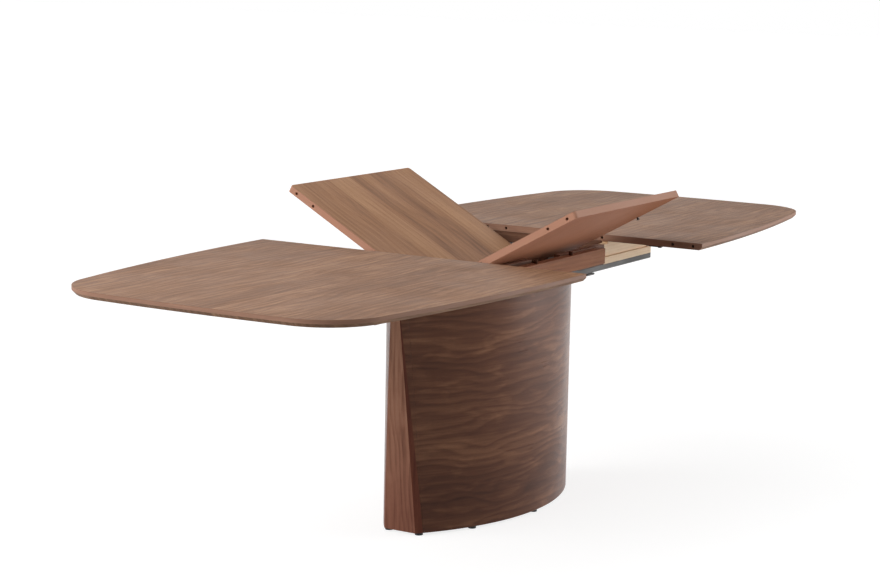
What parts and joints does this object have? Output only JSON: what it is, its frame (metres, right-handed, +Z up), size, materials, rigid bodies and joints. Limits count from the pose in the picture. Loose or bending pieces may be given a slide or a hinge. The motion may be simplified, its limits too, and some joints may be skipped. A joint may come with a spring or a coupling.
{
  "type": "butterfly leaf table",
  "caption": "Extending dining table: boat-shaped top split in two halves on a lens-shaped hollow pedestal, with a folding leaf rising between the halves as a V.",
  "frame": {"origin": "on the floor under the middle of the table", "axes": "+X along the table, the way the halves slide; +Y across it; +Z up"},
  "size_m": [2.682, 1.01, 0.8957],
  "materials": {
    "beech": "sanded and waxed beech",
    "birch_ply": "birch plywood",
    "black_plastic": "black nylon glide",
    "black_steel": "black powder coat",
    "bright_pin": "ground steel",
    "dowel_wood": "hard maple dowel",
    "grey_steel": "zinc plated steel, grey passivated",
    "nylon": "natural nylon",
    "rubber_pad": "black rubber",
    "walnut_batten": "oiled solid walnut",
    "walnut_pedestal": "satin lacquered walnut veneer",
    "walnut_rail": "oiled solid walnut",
    "walnut_top": "satin lacquered walnut veneer, grain along the table",
    "zinc_steel": "bright zinc plated steel"
  },
  "bodies": {
    "root": {"apron_brackets": "grey_steel", "apron_far": "walnut_rail", "apron_near": "walnut_rail", "base_board": "birch_ply", "bulkhead_left": "birch_ply", "bulkhead_right": "birch_ply", "end_board_left": "walnut_pedestal", "end_board_right": "walnut_pedestal", "gas_cylinders": "black_steel", "glide_shoes": "nylon", "glides": "black_plastic", "guide_rail_left": "zinc_steel", "guide_rail_right": "zinc_steel", "leaf_rests": "rubber_pad", "pinion_studs": "bright_pin", "shell_far": "walnut_pedestal", "shell_near": "walnut_pedestal", "slide_brackets": "grey_steel", "sub_top": "birch_ply"},
    "left_half": {"batten_inner_left": "walnut_batten", "batten_outer_left": "walnut_batten", "dowels_left": "dowel_wood", "keepers_left": "bright_pin", "racks_left": "zinc_steel", "rail_left_far": "grey_steel", "rail_left_near": "grey_steel", "runner_left_far": "beech", "runner_left_near": "beech", "top_left": "walnut_top"},
    "right_half": {"batten_inner_right": "walnut_batten", "batten_outer_right": "walnut_batten", "latch_bases": "black_steel", "rack_hangers": "grey_steel", "racks_right": "zinc_steel", "rail_right_far": "grey_steel", "rail_right_near": "grey_steel", "runner_right_far": "beech", "runner_right_near": "beech", "top_right": "walnut_top"},
    "latch_far": {"latch_far": "black_steel"},
    "latch_near": {"latch_near": "black_steel"},
    "pinion_far": {"pinion_far": "nylon"},
    "pinion_near": {"pinion_near": "nylon"},
    "carriage": {"carriage_beam": "zinc_steel", "carriage_shoe_left": "nylon", "carriage_shoe_right": "nylon", "gas_rods": "bright_pin", "hinge_bracket_left": "zinc_steel", "hinge_bracket_right": "zinc_steel", "hinge_pins": "bright_pin"},
    "wing_far": {"hinges_far": "zinc_steel", "wing_dowels_far": "dowel_wood", "wing_far": "walnut_top", "wing_keeper_far": "bright_pin"},
    "wing_near": {"hinges_near": "zinc_steel", "wing_dowels_near": "dowel_wood", "wing_keeper_near": "bright_pin", "wing_near": "walnut_top"}
  },
  "joints": [
    {"name": "left_half_slide", "type": "slide", "parent": "root", "child": "left_half", "axis": [1, 0, 0], "range_m": [0, 0.032]},
    {"name": "right_half_slide", "type": "slide", "parent": "root", "child": "right_half", "axis": [-1, 0, 0], "range_m": [0, 0.032]},
    {"name": "pinion_far_spin", "type": "hinge", "parent": "root", "child": "pinion_far", "pos_m": [0, 0.148, 0.655], "axis": [0, 0, 1], "range_deg": [-153, 0]},
    {"name": "pinion_near_spin", "type": "hinge", "parent": "root", "child": "pinion_near", "pos_m": [0, -0.148, 0.655], "axis": [0, 0, 1], "range_deg": [0, 153]},
    {"name": "leaf_lift", "type": "slide", "parent": "root", "child": "carriage", "axis": [0, 0, 1], "range_m": [-0.1546, 0.0735]},
    {"name": "wing_far_fold", "type": "hinge", "parent": "carriage", "child": "wing_far", "pos_m": [0, 0.04, 0.6615], "axis": [1, 0, 0], "range_deg": [-29.01, 61.01]},
    {"name": "wing_near_fold", "type": "hinge", "parent": "carriage", "child": "wing_near", "pos_m": [0, -0.04, 0.6615], "axis": [-1, 0, 0], "range_deg": [-29.01, 61.01]},
    {"name": "latch_far_swing", "type": "hinge", "parent": "right_half", "child": "latch_far", "pos_m": [0.372, 0.363, 0.7222], "axis": [0, 0, -1], "range_deg": [0, 90]},
    {"name": "latch_near_swing", "type": "hinge", "parent": "right_half", "child": "latch_near", "pos_m": [0.372, -0.363, 0.7222], "axis": [0, 0, 1], "range_deg": [0, 90]}
  ],
  "couplings": [
    {"joint": "right_half_slide", "follows": "left_half_slide", "ratio": 1},
    {"joint": "pinion_far_spin", "follows": "left_half_slide", "rad_per_m": -83.333},
    {"joint": "pinion_near_spin", "follows": "left_half_slide", "rad_per_m": 83.333},
    {"joint": "wing_far_fold", "follows": "leaf_lift", "rad_per_m": -6.8863},
    {"joint": "wing_near_fold", "follows": "leaf_lift", "rad_per_m": -6.8863}
  ]
}
